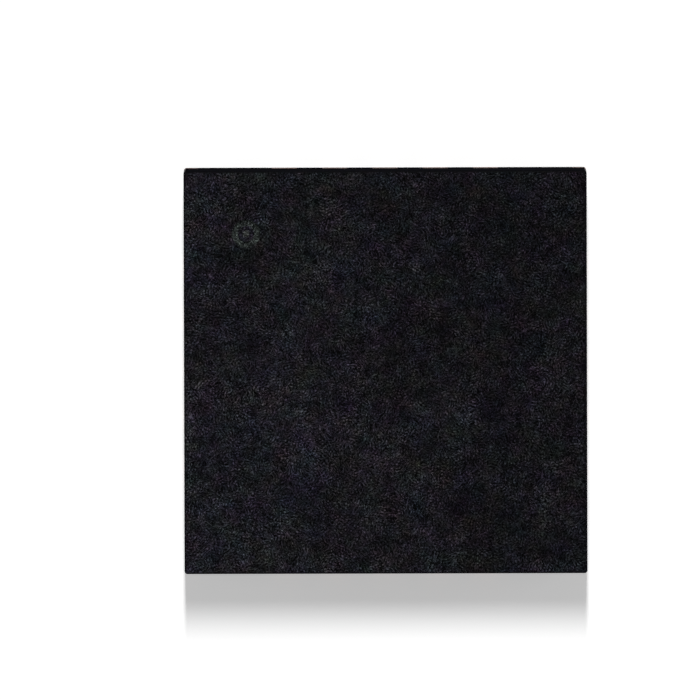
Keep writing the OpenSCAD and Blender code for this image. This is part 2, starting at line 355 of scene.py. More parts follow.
# the moulded block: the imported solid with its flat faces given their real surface

block = {
    "topSpacing": 0.0155 * mm, "wallSpacing": 0.016 * mm, "wallStretch": 6.0,
    "undersideSpacing": 0.05 * mm, "fade": 0.03 * mm, "rimHeight": 0.02,
    "topRelief": 0.0016 * mm, "topReliefSize": 0.085, "wallRelief": 0.0014 * mm,
    "sawLines": (0.35, 0.35, 22), "undersideRelief": 0.0008 * mm, "sharpAngle": 32, "seed": 5,
}
meshing = {
    "jitter": 0.18, "clearance": 0.6,        # in grid spacings: a point's shift, and its gap to the rim
    "square": 0.9999, "onPlane": 1e-8,        # a flat face's least normal, and metres off its plane
    "merge": 5e-8,        # points as close as this are one
}
faceLimits = {
    "upwards": 0.7, "steep": 0.5,        # z of the normal: a top is above the first, a wall below the second
    "skin": 0.004,        # millimetres inside a wall's plane that still belong to the wall
}


def edgeFacts(points, edges):        # distance to the nearest edge, and whether a point is inside them
    nearest = np.full(len(points), np.inf)
    crossings = np.zeros(len(points), int)
    for a, b in edges:
        along = b - a
        share = np.clip(((points - a) @ along) / (along @ along), 0, 1)
        nearest = np.minimum(nearest, np.linalg.norm(points - a - share[:, None] * along, axis=1))
        if a[1] != b[1]:
            spans = (a[1] > points[:, 1]) != (b[1] > points[:, 1])
            reach = a[0] + (points[:, 1] - a[1]) / (b[1] - a[1]) * along[0]
            crossings += spans & (points[:, 0] < reach)
    return nearest, crossings % 2 == 1


def refineFace(mesh, layer, axis, height, facing, spacing, fade, dice):        # an even grid in a flat face
    flat = [f for f in mesh.faces if f.normal[axis] * facing > meshing["square"]
            and all(abs(v.co[axis] - height) < meshing["onPlane"] for v in f.verts)]
    chosen = set(flat)
    rimEdges = [e for e in mesh.edges if sum(f in chosen for f in e.link_faces) == 1]
    rimVerts = list({v for e in rimEdges for v in e.verts})
    across, up = [(1, 2), (0, 2), (0, 1)][axis]
    order = {v: k for k, v in enumerate(rimVerts)}
    rim = np.array([[v.co[across], v.co[up]] for v in rimVerts])
    edges = np.array([[order[v] for v in e.verts] for e in rimEdges])
    low, high = rim.min(0), rim.max(0)
    steps = [int((high[k] - low[k]) / spacing[k]) for k in (0, 1)]
    grid = np.stack(np.meshgrid(*[np.linspace(low[k], high[k], steps[k] + 1) for k in (0, 1)]), -1)
    grid[::2, :, 0] += spacing[0] / 2
    grid = grid.reshape(-1, 2)
    grid = grid + dice.uniform(-meshing["jitter"], meshing["jitter"], grid.shape) * spacing
    nearest, inside = edgeFacts(grid, rim[edges])
    keep = inside & (nearest > min(spacing) * meshing["clearance"])
    grid, nearest = grid[keep], nearest[keep]
    bmesh.ops.delete(mesh, geom=flat, context="FACES")

    points = np.concatenate([rim, grid])
    found = delaunay_2d_cdt([Vector(p) for p in points / mm], edges.tolist(), [], 0, 1e-9, True)
    triangles, origins = np.array(found[2]), [ids[0] for ids in found[3]]
    inside = edgeFacts(points[origins][triangles].mean(1), rim[edges])[1]
    verts = list(rimVerts)
    for p, away in zip(grid, nearest):
        co = [0.0, 0.0, 0.0]
        co[axis], co[across], co[up] = height, p[0], p[1]
        vert = mesh.verts.new(co)
        share = min(1.0, away / fade)
        vert[layer] = share ** 2 * (3 - 2 * share)        # 0 on the rim, 1 away from it
        verts.append(vert)
    turn = facing * (-1 if axis == 1 else 1)        # the (x, z) plane is seen from the far side
    for triangle in triangles[inside]:
        chain = [verts[origins[k]] for k in triangle]
        mesh.faces.new(chain if turn > 0 else chain[::-1])


def refinedCopy(name, nodeName, faces, fade, dice):        # faces: axis, height, facing, spacing
    mesh = bmesh.new()
    mesh.from_mesh(cadNodes[nodeName].data)
    bmesh.ops.remove_doubles(mesh, verts=mesh.verts, dist=meshing["merge"])
    layer = mesh.verts.layers.float.new("fade")
    for axis, height, facing, spacing in faces:
        refineFace(mesh, layer, axis, height, facing, np.array(spacing), fade, dice)
    data = bpy.data.meshes.new(name)
    mesh.to_mesh(data)
    mesh.free()
    return newObject(name, data)


def newTree(name, inputs):        # inputs: name -> socket kind
    tree = bpy.data.node_groups.new(name, "GeometryNodeTree")
    tree.interface.new_socket(name="Geometry", in_out="INPUT", socket_type="NodeSocketGeometry")
    for label, kind in inputs.items():
        tree.interface.new_socket(name=label, in_out="INPUT", socket_type="NodeSocket" + kind)
    tree.interface.new_socket(name="Geometry", in_out="OUTPUT", socket_type="NodeSocketGeometry")
    given = tree.nodes.new("NodeGroupInput").outputs
    out = tree.nodes.new("NodeGroupOutput").inputs["Geometry"]
    return tree, given, out


def applyTree(piece, tree, values):        # runs the tree once and keeps its result as a plain mesh
    modifier = piece.modifiers.new(tree.name, "NODES")
    modifier.node_group = tree
    sockets = {item.name: item.identifier for item in tree.interface.items_tree
               if item.item_type == "SOCKET" and item.in_out == "INPUT"}
    for label, value in values.items():
        modifier[sockets[label]] = value
    bpy.context.view_layer.update()
    graph = bpy.context.evaluated_depsgraph_get()
    made = bpy.data.meshes.new_from_object(piece.evaluated_get(graph))
    if piece.type == "MESH":
        piece.modifiers.remove(modifier)
        piece.data = made
        return piece
    name = piece.name
    bpy.data.objects.remove(piece)
    return newObject(name, made)


def finishPiece(piece, nodeName, sharpAngle):
    piece.data.shade_smooth()
    piece.data.set_sharp_from_angle(angle=math.radians(sharpAngle))
    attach(piece, "root")
    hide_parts(nodeName)


def pointPlace(tree):
    return addNode(tree, "GeometryNodeInputPosition").outputs[0]


def attributeOf(tree, name, kind):
    return addNode(tree, "GeometryNodeInputNamedAttribute", {"Name": name}, data_type=kind).outputs[0]


def realized(tree, mesh):
    return addNode(tree, "GeometryNodeRealizeInstances", {"Geometry": mesh}).outputs[0]


def coated(tree, mesh, material, chosen=True):
    inputs = {"Geometry": mesh, "Selection": chosen, "Material": material}
    return addNode(tree, "GeometryNodeSetMaterial", inputs).outputs[0]


def eitherValue(tree, switch, no, yes):
    inputs = {"Switch": switch, "False": no, "True": yes}
    return addNode(tree, "GeometryNodeSwitch", inputs, input_type="FLOAT").outputs[0]


def surfaceFacts(tree, given):        # place in millimetres, normal, fade and a noise that the seed moves
    place = scaled(tree, pointPlace(tree), (1 / mm,) * 3)
    normal = addNode(tree, "GeometryNodeInputNormal").outputs[0]
    fade = attributeOf(tree, "fade", "FLOAT")

    def field(stretch, density, detail, roughness, distortion=0.0):        # -1 to 1
        inputs = {"Vector": scaled(tree, place, stretch), "W": given["Seed"], "Scale": density,
                  "Detail": detail, "Roughness": roughness, "Distortion": distortion}
        made = addNode(tree, "ShaderNodeTexNoise", inputs, noise_dimensions="4D")
        return times(tree, minus(tree, made.outputs[0], 0.5), 2)

    return place, normal, fade, field


def pushOut(tree, given, normal, height, fade):
    offset = lit(tree, normal, times(tree, height, fade))
    mesh = addNode(tree, "GeometryNodeSetPosition", {"Geometry": given["Geometry"], "Offset": offset})
    return realized(tree, mesh.outputs[0])


def reliefTree():        # pebbled top, sawn walls and a smooth underside
    labels = {"Top height": "Float", "Top size": "Float", "Wall height": "Float", "Underside height": "Float",
              "Half side": "Float", "Rim height": "Float", "Seed": "Float",
              "Top": "Material", "Wall": "Material", "Underside": "Material"}
    tree, given, out = newTree("mouldRelief", labels)
    place, normal, fade, field = surfaceFacts(tree, given)
    upwards = axisOf(tree, normal, 2)
    density = calc(tree, "DIVIDE", 1.0, given["Top size"])
    top = times(tree, field((1, 1, 1), density, 1.2, 0.5, 0.3), given["Top height"])
    saw = times(tree, field(block["sawLines"], 1.0, 1.5, 0.55), given["Wall height"])
    flow = times(tree, field((1, 1, 1), 4.0, 1.0, 0.5), given["Underside height"])
    height = eitherValue(tree, calc(tree, "GREATER_THAN", upwards, faceLimits["upwards"]), saw, top)
    height = eitherValue(tree, calc(tree, "LESS_THAN", upwards, -faceLimits["upwards"]), height, flow)
    mesh = pushOut(tree, given, normal, height, fade)

    outside = calc(tree, "GREATER_THAN", farSide(tree, place), given["Half side"])
    steep = calc(tree, "LESS_THAN", absolute(tree, upwards), faceLimits["steep"])
    high = calc(tree, "GREATER_THAN", axisOf(tree, place, 2), given["Rim height"])
    chosen = {"Underside": True, "Top": high, "Wall": times(tree, outside, steep)}
    for label, selection in chosen.items():
        mesh = coated(tree, mesh, given[label], selection)
    tree.links.new(mesh, out)
    return tree


def makeBlock():
    top, under = [block["topSpacing"]] * 2, [block["undersideSpacing"]] * 2
    wall = [block["wallSpacing"] * block["wallStretch"], block["wallSpacing"]]
    faces = [(2, topHeight, 1, top), (2, undersideHeight, -1, under)]
    faces += [(axis, facing * halfSide, facing, wall) for axis in (0, 1) for facing in (-1, 1)]
    dice = np.random.default_rng(block["seed"])
    piece = refinedCopy("moulded_block", "mould_body", faces, block["fade"], dice)
    applyTree(piece, reliefTree(), {
        "Top height": block["topRelief"], "Top size": block["topReliefSize"],
        "Wall height": block["wallRelief"], "Underside height": block["undersideRelief"],
        "Half side": halfSide / mm - faceLimits["skin"], "Rim height": topHeight / mm - block["rimHeight"],
        "Seed": float(block["seed"]), "Top": mouldMaterials["top"], "Wall": mouldMaterials["wall"],
        "Underside": mouldMaterials["underside"]})
    finishPiece(piece, "mould_body", block["sharpAngle"])
    print("moulded block:", len(piece.data.polygons), "triangles")


makeBlock()


# metal of the lead frame: etched copper with tinned lands

metal = {        # sizes of the finishes in millimetres
    "tin": colour(139, 143, 135), "tinDark": colour(50, 54, 50), "tinPale": colour(219, 222, 211),
    "copper": colour(178, 116, 88), "copperDark": colour(132, 84, 66), "silver": colour(205, 203, 196),
    "sawn": colour(106, 76, 64), "sawnDark": colour(66, 47, 41), "torn": colour(74, 36, 31),
    "tinRoughness": (0.5, 0.32), "sawnRoughness": (0.62, 0.45), "brushDepth": 0.001 * mm,
    "grainSize": 0.036, "grainTurns": 2.0, "grainShare": 0.08, "brushing": (3, 30, 30),
    "scratch": 0.75, "scratchWidth": (0.004, 0.014), "hues": 0.36, "silverHues": 0.1,
    "silverTips": (0.2, 0.17), "tinHeight": 0.02, "cutDepth": 0.028, "cutRagged": 0.085,
    "cutBlend": 0.012, "tornDepth": (0.07, 0.045),
    "landSpacing": 0.008 * mm, "padSpacing": 0.018 * mm, "endSpacing": 0.008 * mm, "fade": 0.016 * mm,
    "crown": 0.0025 * mm, "brushRelief": 0.0009 * mm, "brushLines": (2.6, 30, 30),
    "sawRelief": 0.0012 * mm, "sawLines": (3, 3, 60), "sharpAngle": 32, "seed": 11,
}


def brushedTin(tree, place):        # small curled grains, crossed along X by scratches, with faint tints
    drawn = scaled(tree, place, (0.8, 1, 1))
    first = strokes(tree, drawn, metal["grainSize"], metal["grainTurns"], (1, 2, 3))
    second = strokes(tree, place, metal["grainSize"] * 0.7, metal["grainTurns"], (7, 4, 1))
    brushing = cloud(tree, scaled(tree, place, metal["brushing"]), 2.0, 5, 0.7)
    both = plus(tree, brushing, times(tree, plus(tree, first, second), metal["grainShare"]))
    tint = mixColour(tree, remap(tree, both, 0.28, 0.54), metal["tinDark"], metal["tin"])
    tint = mixColour(tree, remap(tree, both, 0.48, 0.7), tint, metal["tinPale"])
    path = cloud(tree, scaled(tree, place, (1.2, 16, 16), (3, 5, 0)), 1.2, 1)
    line = remap(tree, absolute(tree, minus(tree, path, 0.5)), *metal["scratchWidth"], 1, 0)
    broken = remap(tree, cloud(tree, scaled(tree, place, (2, 9, 9), (6, 1, 0)), 1.6), 0.45, 0.55)
    line = times(tree, line, broken)
    tint = mixColour(tree, times(tree, line, metal["scratch"]), tint, metal["tinDark"])
    tint = mottled(tree, tint, hues(tree, scaled(tree, place, (7, 9, 9), (1, 2, 0)), 2.2), metal["hues"])
    return tint, minus(tree, both, times(tree, line, 0.3))


def leadFinish():
    material, tree, place = newMaterial("tinned_copper", metallic=1.0)
    tin, scratches = brushedTin(tree, place)
    height = axisOf(tree, place, 2)
    side = farSide(tree, place)
    half = halfSide / mm

    # bare copper: rolled strip, darker where the etch has eaten it, silver on the tips
    grain = cloud(tree, shifted(tree, place, (4, 0, 2)), 38, 4, 0.65)
    copper = mixColour(tree, remap(tree, grain, 0.33, 0.67), metal["copperDark"], metal["copper"])
    silver = mottled(tree, metal["silver"], hues(tree, place, 30), metal["silverHues"])
    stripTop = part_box(leadNames[0])[1].z / mm
    plated = times(tree, remap(tree, height, stripTop - 0.004, stripTop - 0.001),
                   offEdge(tree, side, metal["silverTips"]))
    tint = mixColour(tree, plated, copper, silver)

    # tin covers what stands proud underneath, with a painted highlight along its rounded rim, up to a ragged
    # edge at the saw cut
    inwards = addNode(tree, "ShaderNodeAttribute", attribute_name="fade").outputs["Fac"]
    rim = times(tree, remap(tree, inwards, 0.1, 0.75, 0.7, 0), remap(tree, height, 0.004, 0.01, 1, 0))
    rim = times(tree, rim, remap(tree, scratches, 0.35, 0.55, 0.5, 1))
    tin = mixColour(tree, rim, tin, metal["tinPale"])
    ragged = plus(tree, side, times(tree, cloud(tree, place, 20, 3, 0.6), metal["cutRagged"]))
    below = remap(tree, height, metal["tinHeight"], metal["tinHeight"] + 0.004, 1, 0)
    shade = times(tree, below, remap(tree, side, *(half - depth for depth in metal["tornDepth"])))
    torn = mixColour(tree, remap(tree, grain, 0.45, 0.7), metal["torn"], metal["copperDark"])
    tint = mixColour(tree, shade, tint, torn)
    tinEnd = half - metal["cutDepth"] + metal["cutRagged"] * 0.4
    tinned = times(tree, below, remap(tree, ragged, tinEnd, tinEnd + metal["cutBlend"], 1, 0))
    tint = mixColour(tree, tinned, tint, tin)
    rough = spread(tree, scratches, *metal["tinRoughness"])
    return dress(material, tint, rough, scratches, metal["brushDepth"])


def sawnFinish():        # dull copper with the blade's lines, where the saw parts the leads
    material, tree, place = newMaterial("sawn_copper", metallic=0.2, specular=0.05)
    lines = cloud(tree, scaled(tree, place, (0.8, 0.8, 70), (2, 2, 0)), 1.4, 3, 0.6)
    level = times(tree, plus(tree, lines, cloud(tree, place, 34, 4, 0.65)), 0.5)
    tint = mixColour(tree, remap(tree, level, 0.36, 0.62), metal["sawnDark"], metal["sawn"])
    return dress(material, tint, spread(tree, lines, *metal["sawnRoughness"]), level, metal["brushDepth"])


def metalTree():        # crowned, brushed lands and sawn ends
    labels = {"Crown": "Float", "Brush height": "Float", "Saw height": "Float", "Half side": "Float",
              "Seed": "Float", "Finish": "Material", "Sawn finish": "Material"}
    tree, given, out = newTree("metalRelief", labels)
    place, normal, fade, field = surfaceFacts(tree, given)
    brush = plus(tree, field(metal["brushLines"], 1.6, 2, 0.6), field((1, 1, 1), 26, 1, 0.5, 0.4))
    land = plus(tree, given["Crown"], times(tree, brush, given["Brush height"]))
    saw = times(tree, field(metal["sawLines"], 1.0, 2, 0.6), given["Saw height"])
    below = calc(tree, "LESS_THAN", axisOf(tree, normal, 2), -faceLimits["upwards"])
    mesh = pushOut(tree, given, normal, eitherValue(tree, below, saw, land), fade)
    cut = calc(tree, "GREATER_THAN", farSide(tree, place), given["Half side"])
    mesh = coated(tree, coated(tree, mesh, given["Finish"]), given["Sawn finish"], cut)
    tree.links.new(mesh, out)
    return tree


def makeLeadFrame():
    tree = metalTree()
    dice = np.random.default_rng(metal["seed"])
    values = {"Crown": metal["crown"], "Brush height": metal["brushRelief"], "Saw height": metal["sawRelief"],
              "Half side": halfSide / mm - faceLimits["skin"], "Seed": float(metal["seed"]),
              "Finish": leadFinish(), "Sawn finish": sawnCopper}
    count = 0
    for index, nodeName in enumerate(leadNames + ["die_paddle"]):
        if nodeName in leadNames:
            side = index // perSide        # walls facing -X, -Y, +X and +Y
            axis, facing = side % 2, 1 if side > 1 else -1
            faces = [(2, cadBox[0].z, -1, [metal["landSpacing"]] * 2),
                     (axis, facing * halfSide, facing, [metal["endSpacing"]] * 2)]
            name = "tinned_lead_" + nodeName[-2:]
        else:
            faces = [(2, cadBox[0].z, -1, [metal["padSpacing"]] * 2)]
            name = "tinned_paddle"
        piece = refinedCopy(name, nodeName, faces, metal["fade"], dice)
        applyTree(piece, tree, values)
        finishPiece(piece, nodeName, metal["sharpAngle"])
        count += len(piece.data.polygons)
    print("lead frame:", len(leadNames), "leads and the paddle,", count, "triangles")


sawnCopper = sawnFinish()
makeLeadFrame()


# slivers that the saw has dragged sideways off the lands

burr = {
    "length": 0.036 * mm, "shortest": 0.5, "longest": 1.25, "width": 0.011 * mm, "height": 0.0075 * mm,
    "tip": 0.12, "sides": 10, "rings": 6, "ragged": 0.004 * mm, "raggedScale": 90,
    "fromWall": 0.0125 * mm, "lift": 0.0095 * mm, "overlap": 0.004 * mm, "seed": 3,
}


def burrTree():
    labels = {"Length": "Float", "Width": "Float", "Height": "Float", "Shortest": "Float", "Longest": "Float",
              "Ragged": "Float", "Seed": "Int", "Finish": "Material"}
    tree, given, out = newTree("sawBurrs", labels)
    sliver = addNode(tree, "GeometryNodeMeshCone", {
        "Vertices": burr["sides"], "Side Segments": burr["rings"], "Fill Segments": 2,
        "Radius Top": burr["tip"], "Radius Bottom": 1.0, "Depth": 1.0})
    way = attributeOf(tree, "way", "FLOAT_VECTOR")
    turn = addNode(tree, "FunctionNodeAlignEulerToVector", {"Vector": way}, axis="Z").outputs[0]
    limits = {"Min": given["Shortest"], "Max": given["Longest"], "Seed": given["Seed"]}
    dice = addNode(tree, "FunctionNodeRandomValue", limits, data_type="FLOAT")
    share = next(socket for socket in dice.outputs if socket.enabled)
    length = times(tree, given["Length"], share)
    size = addNode(tree, "ShaderNodeCombineXYZ", {0: given["Width"], 1: given["Height"], 2: length})
    many = addNode(tree, "GeometryNodeInstanceOnPoints", {
        "Points": given["Geometry"], "Instance": sliver.outputs[0], "Rotation": turn,
        "Scale": size.outputs[0]})
    place = scaled(tree, pointPlace(tree), (1 / mm,) * 3)
    shake = scaled(tree, hues(tree, place, burr["raggedScale"], 2, 0.6), (2, 2, 2), (-1, -1, -1))
    mesh = addNode(tree, "GeometryNodeSetPosition", {
        "Geometry": realized(tree, many.outputs[0]), "Offset": lit(tree, shake, given["Ragged"])})
    tree.links.new(coated(tree, mesh.outputs[0], given["Finish"]), out)
    return tree


def makeBurrs():
    places, ways = [], []
    for index, name in enumerate(leadNames):
        low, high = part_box(name)
        middle = (low + high) / 2
        out = Matrix.Rotation(math.radians(90 * (index // perSide)), 3, "Z") @ Vector((-1, 0, 0))
        way = Vector((0, 0, 1)).cross(out)        # the blade runs towards the next lead
        halfWidth = min(high.x - low.x, high.y - low.y) / 2
        reach = middle.dot(way) + halfWidth
        spot = out * (halfSide - burr["fromWall"]) + way * (reach - burr["overlap"])
        places.append(spot + Vector((0, 0, burr["lift"])))
        ways.append(way)
    data = bpy.data.meshes.new("saw_burrs")
    data.from_pydata(places, [], [])
    layer = data.attributes.new("way", "FLOAT_VECTOR", "POINT")
    layer.data.foreach_set("vector", np.array(ways).ravel())
    piece = newObject("saw_burrs", data)
    applyTree(piece, burrTree(), {
        "Length": burr["length"], "Width": burr["width"], "Height": burr["height"],
        "Shortest": burr["shortest"], "Longest": burr["longest"], "Ragged": burr["ragged"],
        "Seed": burr["seed"], "Finish": sawnCopper})
    piece.data.materials.pop(index=0)        # the cone's own empty slot
    piece.data.shade_smooth()
    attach(piece, "root")
    print("saw burrs:", len(places), "slivers,", len(piece.data.polygons), "faces")


makeBurrs()


# inside: die, adhesive and bond wires

inside = {        # sizes in millimetres, scales per millimetre
    "silicon": colour(66, 70, 80), "passivation": colour(96, 112, 104), "trace": colour(176, 168, 156),
    "pad": colour(206, 205, 200), "dieRoughness": (0.2, 0.36), "dieDepth": 0.0004 * mm,
    "cellWidth": 0.34, "cellHeight": 0.23, "street": 0.006, "rows": 22, "columns": 9, "film": 0.0007,
    "paste": colour(168, 166, 160), "pasteDark": colour(118, 116, 112), "flakes": 110,
    "pasteRoughness": (0.6, 0.38), "pasteDepth": 0.001 * mm,
    "gold": colour(222, 178, 84), "goldDark": colour(176, 128, 52),
    "goldRoughness": (0.34, 0.22), "goldDepth": 0.0003 * mm,
}


def dieFinish():        # blocks of cells with rows of traces, and bare pads in the film's openings
    material, tree, place = newMaterial("silicon", metallic=0.6)
    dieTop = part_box("die")[1].z / mm
    cells = addNode(tree, "ShaderNodeTexBrick", {
        "Vector": scaled(tree, place, (1, 1, 0), (0.07, 0.03, 0)), "Color1": (0, 0, 0, 1),
        "Color2": (1, 1, 1, 1), "Mortar": (1, 1, 1, 1), "Scale": 1.0, "Mortar Size": inside["street"],
        "Bias": 0.0, "Brick Width": inside["cellWidth"], "Row Height": inside["cellHeight"]},
        offset=0.37, squash=0.55, squash_frequency=3)
    shade = axisOf(tree, cells.outputs["Color"], 0)
    circuit = mixColour(tree, shade, inside["passivation"], inside["trace"])
    rows, columns = (
        addNode(tree, "ShaderNodeTexWave", {"Vector": place, "Scale": inside[key]},
                bands_direction=axis).outputs[1]
        for key, axis in (("rows", "Y"), ("columns", "X")))
    traces = times(tree, remap(tree, rows, 0.45, 0.55), remap(tree, shade, 0.3, 0.4))
    circuit = mixColour(tree, times(tree, traces, 0.5), circuit, inside["trace"])
    circuit = mixColour(tree, times(tree, remap(tree, columns, 0.8, 0.9), 0.6), circuit, inside["trace"])
    onTop = remap(tree, axisOf(tree, place, 2), dieTop - inside["film"], dieTop - inside["film"] + 0.0004)
    tint = mixColour(tree, onTop, inside["silicon"], circuit)
    upwards = axisOf(tree, addNode(tree, "ShaderNodeNewGeometry").outputs["Normal"], 2)
    opened = times(tree, minus(tree, 1, onTop), remap(tree, upwards, 0.8, 0.95))
    tint = mixColour(tree, opened, tint, inside["pad"])
    grain = cloud(tree, scaled(tree, place, (8, 8, 40)), 2.0, 3)
    return dress(material, tint, spread(tree, grain, *inside["dieRoughness"]), grain, inside["dieDepth"])


def pasteFinish():
    material, tree, place = newMaterial("silver_adhesive", metallic=0.5)
    flakes = addNode(tree, "ShaderNodeTexVoronoi", {"Vector": place, "Scale": inside["flakes"]})
    shade = axisOf(tree, flakes.outputs["Color"], 0)
    tint = mixColour(tree, shade, inside["pasteDark"], inside["paste"])
    rough = remap(tree, shade, 0, 1, *inside["pasteRoughness"], smooth=False)
    return dress(material, tint, rough, shade, inside["pasteDepth"])


def goldFinish():
    material, tree, place = newMaterial("bond_metal", metallic=1.0)
    drawn = cloud(tree, place, 60, 3, 0.6)
    tint = mixColour(tree, remap(tree, drawn, 0.3, 0.7), inside["goldDark"], inside["gold"])
    return dress(material, tint, spread(tree, drawn, *inside["goldRoughness"]), drawn, inside["goldDepth"])


for name, finish in (("die", dieFinish()), ("die_attach", pasteFinish())):
    cadNodes[name].data.materials.clear()
    cadNodes[name].data.materials.append(finish)
gold = goldFinish()

bondWire = {        # millimetres
    "diameter": 0.025, "ballDiameter": 0.062, "ballHeight": 0.016, "ballPitch": 0.26, "ballInset": 0.075,
    "ballMiddle": 0.45, "ballReach": 0.72,        # shares of the ball's height
    "loopHeight": 0.15, "crest": 0.14, "pull": 0.34,        # the last two are shares of the wire's run
    "stitchLength": 0.06, "stitchWidth": 0.046, "stitchThickness": 0.006, "stitchFromTip": 0.11,
    "pressStart": 1.3,        # in stitch lengths
    "openingDepth": 0.002, "heelAngle": 22,
    "sides": 16, "steps": 14, "sharpAngle": 50,
}


def wireTree():
    labels = {"Wire radius": "Float", "Ball radius": "Float", "Ball height": "Float",
              "Stitch length": "Float", "Stitch width": "Float", "Stitch thickness": "Float",
              "Sides": "Int", "Finish": "Material"}
    tree, given, out = newTree("bondWire", labels)
    path = addNode(tree, "GeometryNodeResampleCurve", {"Curve": given["Geometry"]}, mode="EVALUATED")
    along = addNode(tree, "GeometryNodeSplineParameter").outputs["Length"]
    length = addNode(tree, "GeometryNodeSplineLength").outputs["Length"]

    # a pressed ball is an ellipse cut off by the pad, and runs into the wire above
    middle = times(tree, given["Ball height"], bondWire["ballMiddle"])
    reach = times(tree, given["Ball height"], bondWire["ballReach"])
    lift = calc(tree, "DIVIDE", minus(tree, along, middle), reach)
    bulge = minus(tree, 1, times(tree, lift, lift))
    ball = times(tree, calc(tree, "SQRT", calc(tree, "MAXIMUM", bulge, 0)), given["Ball radius"])
    radius = calc(tree, "MAXIMUM", ball, given["Wire radius"])

    # towards its end the wire is pressed flat on the lead
    start = times(tree, given["Stitch length"], bondWire["pressStart"])
    share = remap(tree, minus(tree, length, along), start, given["Stitch length"])
    kept = addNode(tree, "GeometryNodeCaptureAttribute", {"Geometry": path.outputs[0]})
    kept.capture_items.new("VECTOR", "Centre")
    kept.capture_items.new("FLOAT", "Pressed")
    tree.links.new(pointPlace(tree), kept.inputs["Centre"])
    tree.links.new(share, kept.inputs["Pressed"])
    ring = addNode(tree, "GeometryNodeCurvePrimitiveCircle", {"Resolution": given["Sides"], "Radius": 1.0})
    tube = addNode(tree, "GeometryNodeCurveToMesh", {
        "Curve": kept.outputs["Geometry"], "Profile Curve": ring.outputs[0], "Scale": radius,
        "Fill Caps": True})
    centre = kept.outputs["Centre"]
    wide, thin = (calc(tree, "DIVIDE", calc(tree, "DIVIDE", given[label], 2), given["Wire radius"])
                  for label in ("Stitch width", "Stitch thickness"))
    flat = addNode(tree, "ShaderNodeCombineXYZ", {0: wide, 1: wide, 2: thin}).outputs[0]
    grow = addNode(tree, "ShaderNodeMix", {0: kept.outputs["Pressed"], 4: (1, 1, 1), 5: flat},
                   data_type="VECTOR").outputs[1]
    placed = vector(tree, "MULTIPLY_ADD", vector(tree, "SUBTRACT", pointPlace(tree), centre), grow, centre)
    mesh = addNode(tree, "GeometryNodeSetPosition", {"Geometry": tube.outputs[0], "Position": placed})
    tree.links.new(coated(tree, realized(tree, mesh.outputs[0]), given["Finish"]), out)
    return tree


def wirePath(index):        # one open curve: up through the ball, over the loop, down to the stitch
    w = bondWire
    side, row = divmod(index, perSide)
    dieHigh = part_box("die")[1]
    leadLow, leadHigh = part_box(leadNames[0])
    pitch = (leadLow.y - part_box(leadNames[1])[0].y) / mm
    rank = (perSide - 1) / 2 - row
    half = (dieHigh.x if side % 2 == 0 else dieHigh.y) / mm
    turn = Matrix.Rotation(math.radians(90 * side), 3, "Z")
    ball = turn @ Vector((w["ballInset"] - half, rank * w["ballPitch"], 0))
    stitch = turn @ Vector((leadHigh.x / mm - w["stitchFromTip"], rank * pitch, 0))
    run = stitch - ball
    reach = run.length + w["stitchLength"] / 2
    run.normalize()
    strip, seat = leadHigh.z / mm, dieHigh.z / mm - w["openingDepth"]
    peak = dieHigh.z / mm + w["loopHeight"] - w["diameter"] / 2
    heel = reach - w["stitchLength"]
    crest = Vector((reach * w["crest"], peak))
    neck = Vector((0, seat + w["ballHeight"] + w["diameter"] / 4))
    foot = Vector((heel - w["diameter"], strip + w["diameter"] / 2))
    slope = Vector((1, -math.tan(math.radians(w["heelAngle"]))))
    pull = (foot.x - crest.x) * w["pull"]
    pressed = Vector((reach - w["stitchLength"] * 0.7, strip + w["stitchThickness"]))
    tip = Vector((reach, strip + w["stitchThickness"] / 2))
    level = Vector((1, 0))
    stops = [        # point, handle before it, handle after it
        (Vector((0, seat)), Vector((0, seat)), Vector((0, seat + w["ballHeight"] / 3))),
        (neck, neck - Vector((0, w["ballHeight"] / 3)), Vector((0, peak - w["diameter"] / 2))),
        (crest, Vector((crest.x * 0.3, peak)), crest + level * pull),
        (foot, foot - slope * pull, foot + slope * w["diameter"] * 0.5),
        (pressed, pressed - level * w["diameter"] * 0.6, pressed + level * w["stitchLength"] * 0.25),
        (tip, tip - level * w["stitchLength"] * 0.25, tip),
    ]
    curve = bpy.data.curves.new("wire", "CURVE")
    curve.dimensions = "3D"
    curve.resolution_u = w["steps"]
    curve.twist_mode = "Z_UP"
    spline = curve.splines.new("BEZIER")
    spline.bezier_points.add(len(stops) - 1)
    for point, spots in zip(spline.bezier_points, stops):
        point.handle_left_type = point.handle_right_type = "FREE"
        for field, spot in zip(("co", "handle_left", "handle_right"), spots):
            setattr(point, field, (ball + run * spot.x + Vector((0, 0, spot.y))) * mm)
    return curve


def makeWires():
    tree = wireTree()
    w = bondWire
    for index, name in enumerate(wireNames):
        piece = applyTree(newObject("gold_wire_" + name[-2:], wirePath(index)), tree, {
            "Wire radius": w["diameter"] / 2 * mm, "Ball radius": w["ballDiameter"] / 2 * mm,
            "Ball height": w["ballHeight"] * mm, "Stitch length": w["stitchLength"] * mm,
            "Stitch width": w["stitchWidth"] * mm, "Stitch thickness": w["stitchThickness"] * mm,
            "Sides": w["sides"], "Finish": gold})
        finishPiece(piece, name, w["sharpAngle"])
    print("bond wires:", len(wireNames), "of", len(piece.data.polygons), "faces")


makeWires()


# studio: pale floor, soft light and the camera

